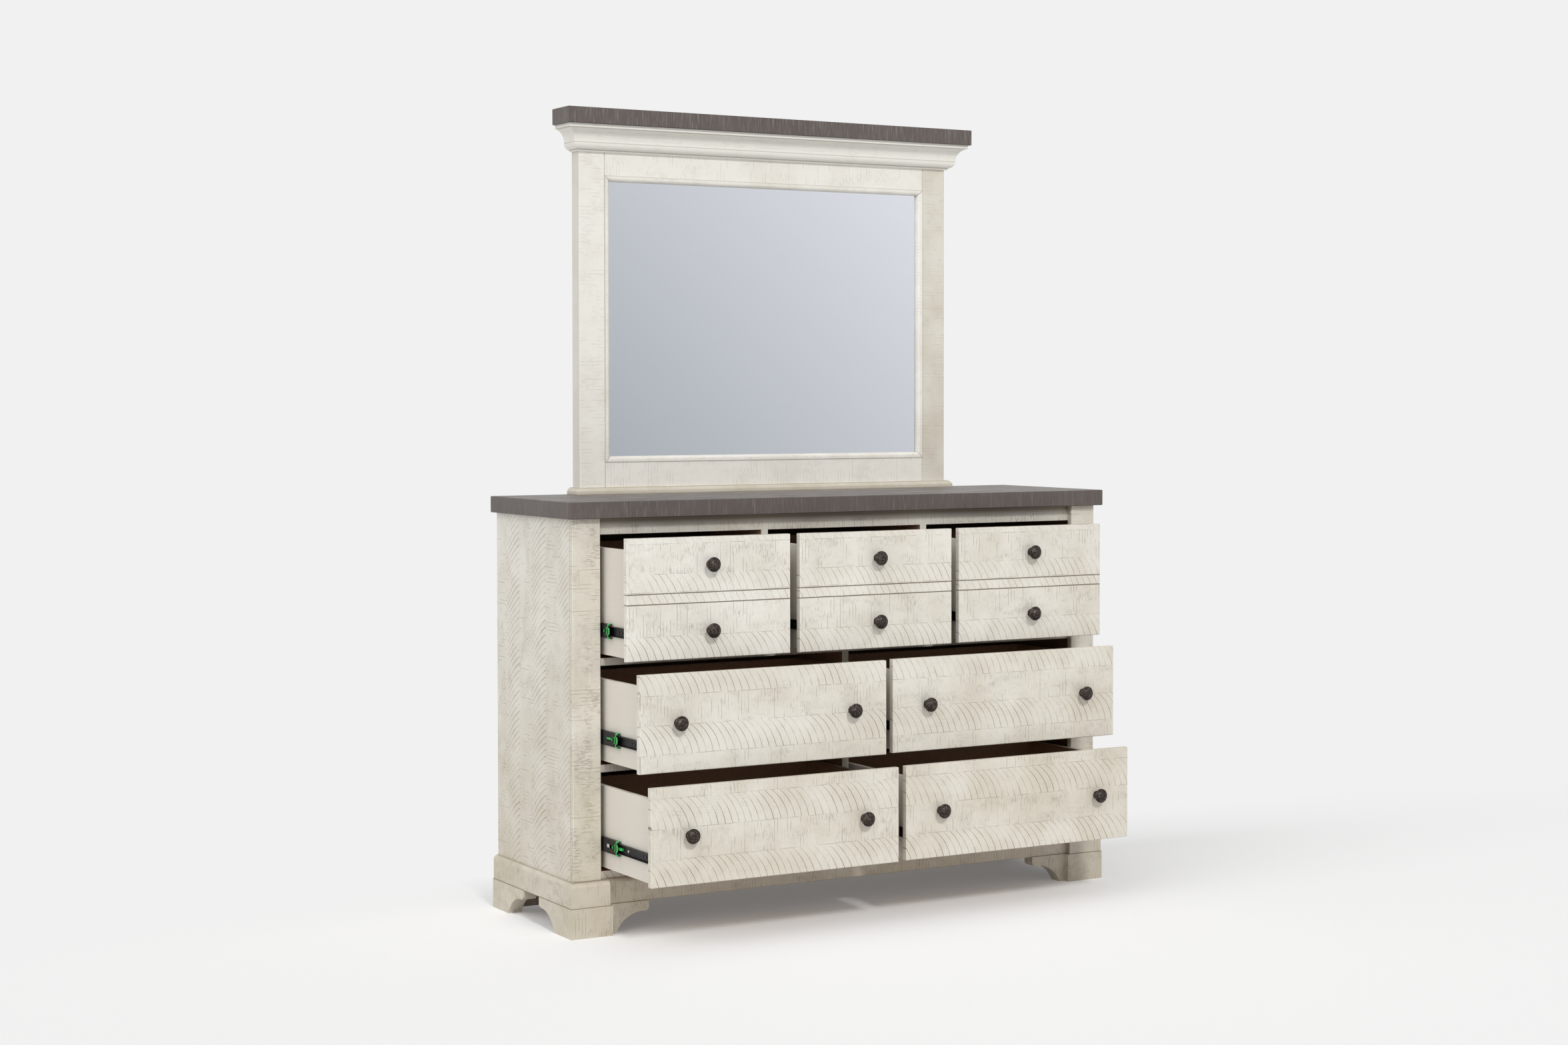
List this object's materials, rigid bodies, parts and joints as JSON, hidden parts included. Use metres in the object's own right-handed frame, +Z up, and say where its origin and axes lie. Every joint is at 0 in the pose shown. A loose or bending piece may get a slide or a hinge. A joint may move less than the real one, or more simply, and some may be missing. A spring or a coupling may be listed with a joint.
{
  "type": "dresser",
  "caption": "Wide distressed white dresser with rows of drawers on ball-bearing slides, bracket feet and a framed mirror under a mitred crown and a dark cap.",
  "frame": {"origin": "on the floor, in the middle of the box round the dresser with its drawers open as stored", "axes": "+Z up, -Y out of the front with the drawers, +X to the right of someone who faces the front"},
  "size_m": [1.576, 0.753, 2.03],
  "materials": {
    "white_painted_wood": "antique white paint, sawn texture, brown-grey glaze, satin",
    "dark_stained_wood": "dark warm-grey stain on sawn wood, matt",
    "drawer_box_wood": "light wood outside, dark brown stain inside",
    "bare_board": "unpainted board",
    "dark_bronze": "hammered, oiled dark bronze",
    "black_steel": "black electro-coated steel with green plastic claws and levers",
    "mirror_glass": "silvered glass"
  },
  "bodies": {
    "case": {"case_top": "dark_stained_wood", "left_side_panel": "white_painted_wood", "right_side_panel": "white_painted_wood", "front_stiles": "white_painted_wood", "top_front_rail": "white_painted_wood", "drawer_rails": "white_painted_wood", "drawer_partitions": "white_painted_wood", "case_bottom": "white_painted_wood", "back_panel": "bare_board", "plinth_corner_blocks": "white_painted_wood", "plinth_front_rail": "white_painted_wood", "plinth_rails": "white_painted_wood", "front_feet": "white_painted_wood", "rear_feet": "white_painted_wood", "slide_spacers": "bare_board", "cabinet_slide_members": "black_steel", "mirror_stiles": "white_painted_wood", "mirror_rails": "white_painted_wood", "mirror_bead": "white_painted_wood", "crown_moulding": "white_painted_wood", "mirror_cap": "dark_stained_wood", "mirror_base_moulding": "white_painted_wood", "mirror_glass": "mirror_glass", "mirror_backboard": "bare_board", "mirror_supports": "bare_board"},
    "top_left_drawer": {"top_left_drawer_front": "white_painted_wood", "top_left_drawer_box": "drawer_box_wood", "top_left_drawer_knobs": "dark_bronze", "top_left_drawer_slide_members": "black_steel"},
    "top_left_slides": {"top_left_middle_slide_members": "black_steel"},
    "top_centre_drawer": {"top_centre_drawer_front": "white_painted_wood", "top_centre_drawer_box": "drawer_box_wood", "top_centre_drawer_knobs": "dark_bronze", "top_centre_drawer_slide_members": "black_steel"},
    "top_centre_slides": {"top_centre_middle_slide_members": "black_steel"},
    "top_right_drawer": {"top_right_drawer_front": "white_painted_wood", "top_right_drawer_box": "drawer_box_wood", "top_right_drawer_knobs": "dark_bronze", "top_right_drawer_slide_members": "black_steel"},
    "top_right_slides": {"top_right_middle_slide_members": "black_steel"},
    "middle_left_drawer": {"middle_left_drawer_front": "white_painted_wood", "middle_left_drawer_box": "drawer_box_wood", "middle_left_drawer_knobs": "dark_bronze", "middle_left_drawer_slide_members": "black_steel"},
    "middle_left_slides": {"middle_left_middle_slide_members": "black_steel"},
    "middle_right_drawer": {"middle_right_drawer_front": "white_painted_wood", "middle_right_drawer_box": "drawer_box_wood", "middle_right_drawer_knobs": "dark_bronze", "middle_right_drawer_slide_members": "black_steel"},
    "middle_right_slides": {"middle_right_middle_slide_members": "black_steel"},
    "bottom_left_drawer": {"bottom_left_drawer_front": "white_painted_wood", "bottom_left_drawer_box": "drawer_box_wood", "bottom_left_drawer_knobs": "dark_bronze", "bottom_left_drawer_slide_members": "black_steel"},
    "bottom_left_slides": {"bottom_left_middle_slide_members": "black_steel"},
    "bottom_right_drawer": {"bottom_right_drawer_front": "white_painted_wood", "bottom_right_drawer_box": "drawer_box_wood", "bottom_right_drawer_knobs": "dark_bronze", "bottom_right_drawer_slide_members": "black_steel"},
    "bottom_right_slides": {"bottom_right_middle_slide_members": "black_steel"}
  },
  "joints": [
    {"name": "top_left_drawer_slide", "type": "slide", "parent": "case", "child": "top_left_drawer", "axis": [0, -1, 0], "range_m": [-0.151, 0.249]},
    {"name": "top_left_middle_slide", "type": "slide", "parent": "case", "child": "top_left_slides", "axis": [0, -1, 0], "range_m": [-0.0755, 0.1245]},
    {"name": "top_centre_drawer_slide", "type": "slide", "parent": "case", "child": "top_centre_drawer", "axis": [0, -1, 0], "range_m": [-0.153, 0.247]},
    {"name": "top_centre_middle_slide", "type": "slide", "parent": "case", "child": "top_centre_slides", "axis": [0, -1, 0], "range_m": [-0.0765, 0.1235]},
    {"name": "top_right_drawer_slide", "type": "slide", "parent": "case", "child": "top_right_drawer", "axis": [0, -1, 0], "range_m": [-0.148, 0.252]},
    {"name": "top_right_middle_slide", "type": "slide", "parent": "case", "child": "top_right_slides", "axis": [0, -1, 0], "range_m": [-0.074, 0.126]},
    {"name": "middle_left_drawer_slide", "type": "slide", "parent": "case", "child": "middle_left_drawer", "axis": [0, -1, 0], "range_m": [-0.217, 0.183]},
    {"name": "middle_left_middle_slide", "type": "slide", "parent": "case", "child": "middle_left_slides", "axis": [0, -1, 0], "range_m": [-0.11718, 0.09882]},
    {"name": "middle_right_drawer_slide", "type": "slide", "parent": "case", "child": "middle_right_drawer", "axis": [0, -1, 0], "range_m": [-0.206, 0.194]},
    {"name": "middle_right_middle_slide", "type": "slide", "parent": "case", "child": "middle_right_slides", "axis": [0, -1, 0], "range_m": [-0.11124, 0.10476]},
    {"name": "bottom_left_drawer_slide", "type": "slide", "parent": "case", "child": "bottom_left_drawer", "axis": [0, -1, 0], "range_m": [-0.274, 0.126]},
    {"name": "bottom_left_middle_slide", "type": "slide", "parent": "case", "child": "bottom_left_slides", "axis": [0, -1, 0], "range_m": [-0.11782, 0.05418]},
    {"name": "bottom_right_drawer_slide", "type": "slide", "parent": "case", "child": "bottom_right_drawer", "axis": [0, -1, 0], "range_m": [-0.267, 0.133]},
    {"name": "bottom_right_middle_slide", "type": "slide", "parent": "case", "child": "bottom_right_slides", "axis": [0, -1, 0], "range_m": [-0.11481, 0.05719]}
  ],
  "couplings": [
    {"joint": "top_left_middle_slide", "follows": "top_left_drawer_slide", "ratio": 0.5},
    {"joint": "top_centre_middle_slide", "follows": "top_centre_drawer_slide", "ratio": 0.5},
    {"joint": "top_right_middle_slide", "follows": "top_right_drawer_slide", "ratio": 0.5},
    {"joint": "middle_left_middle_slide", "follows": "middle_left_drawer_slide", "ratio": 0.54},
    {"joint": "middle_right_middle_slide", "follows": "middle_right_drawer_slide", "ratio": 0.54},
    {"joint": "bottom_left_middle_slide", "follows": "bottom_left_drawer_slide", "ratio": 0.43},
    {"joint": "bottom_right_middle_slide", "follows": "bottom_right_drawer_slide", "ratio": 0.43}
  ]
}
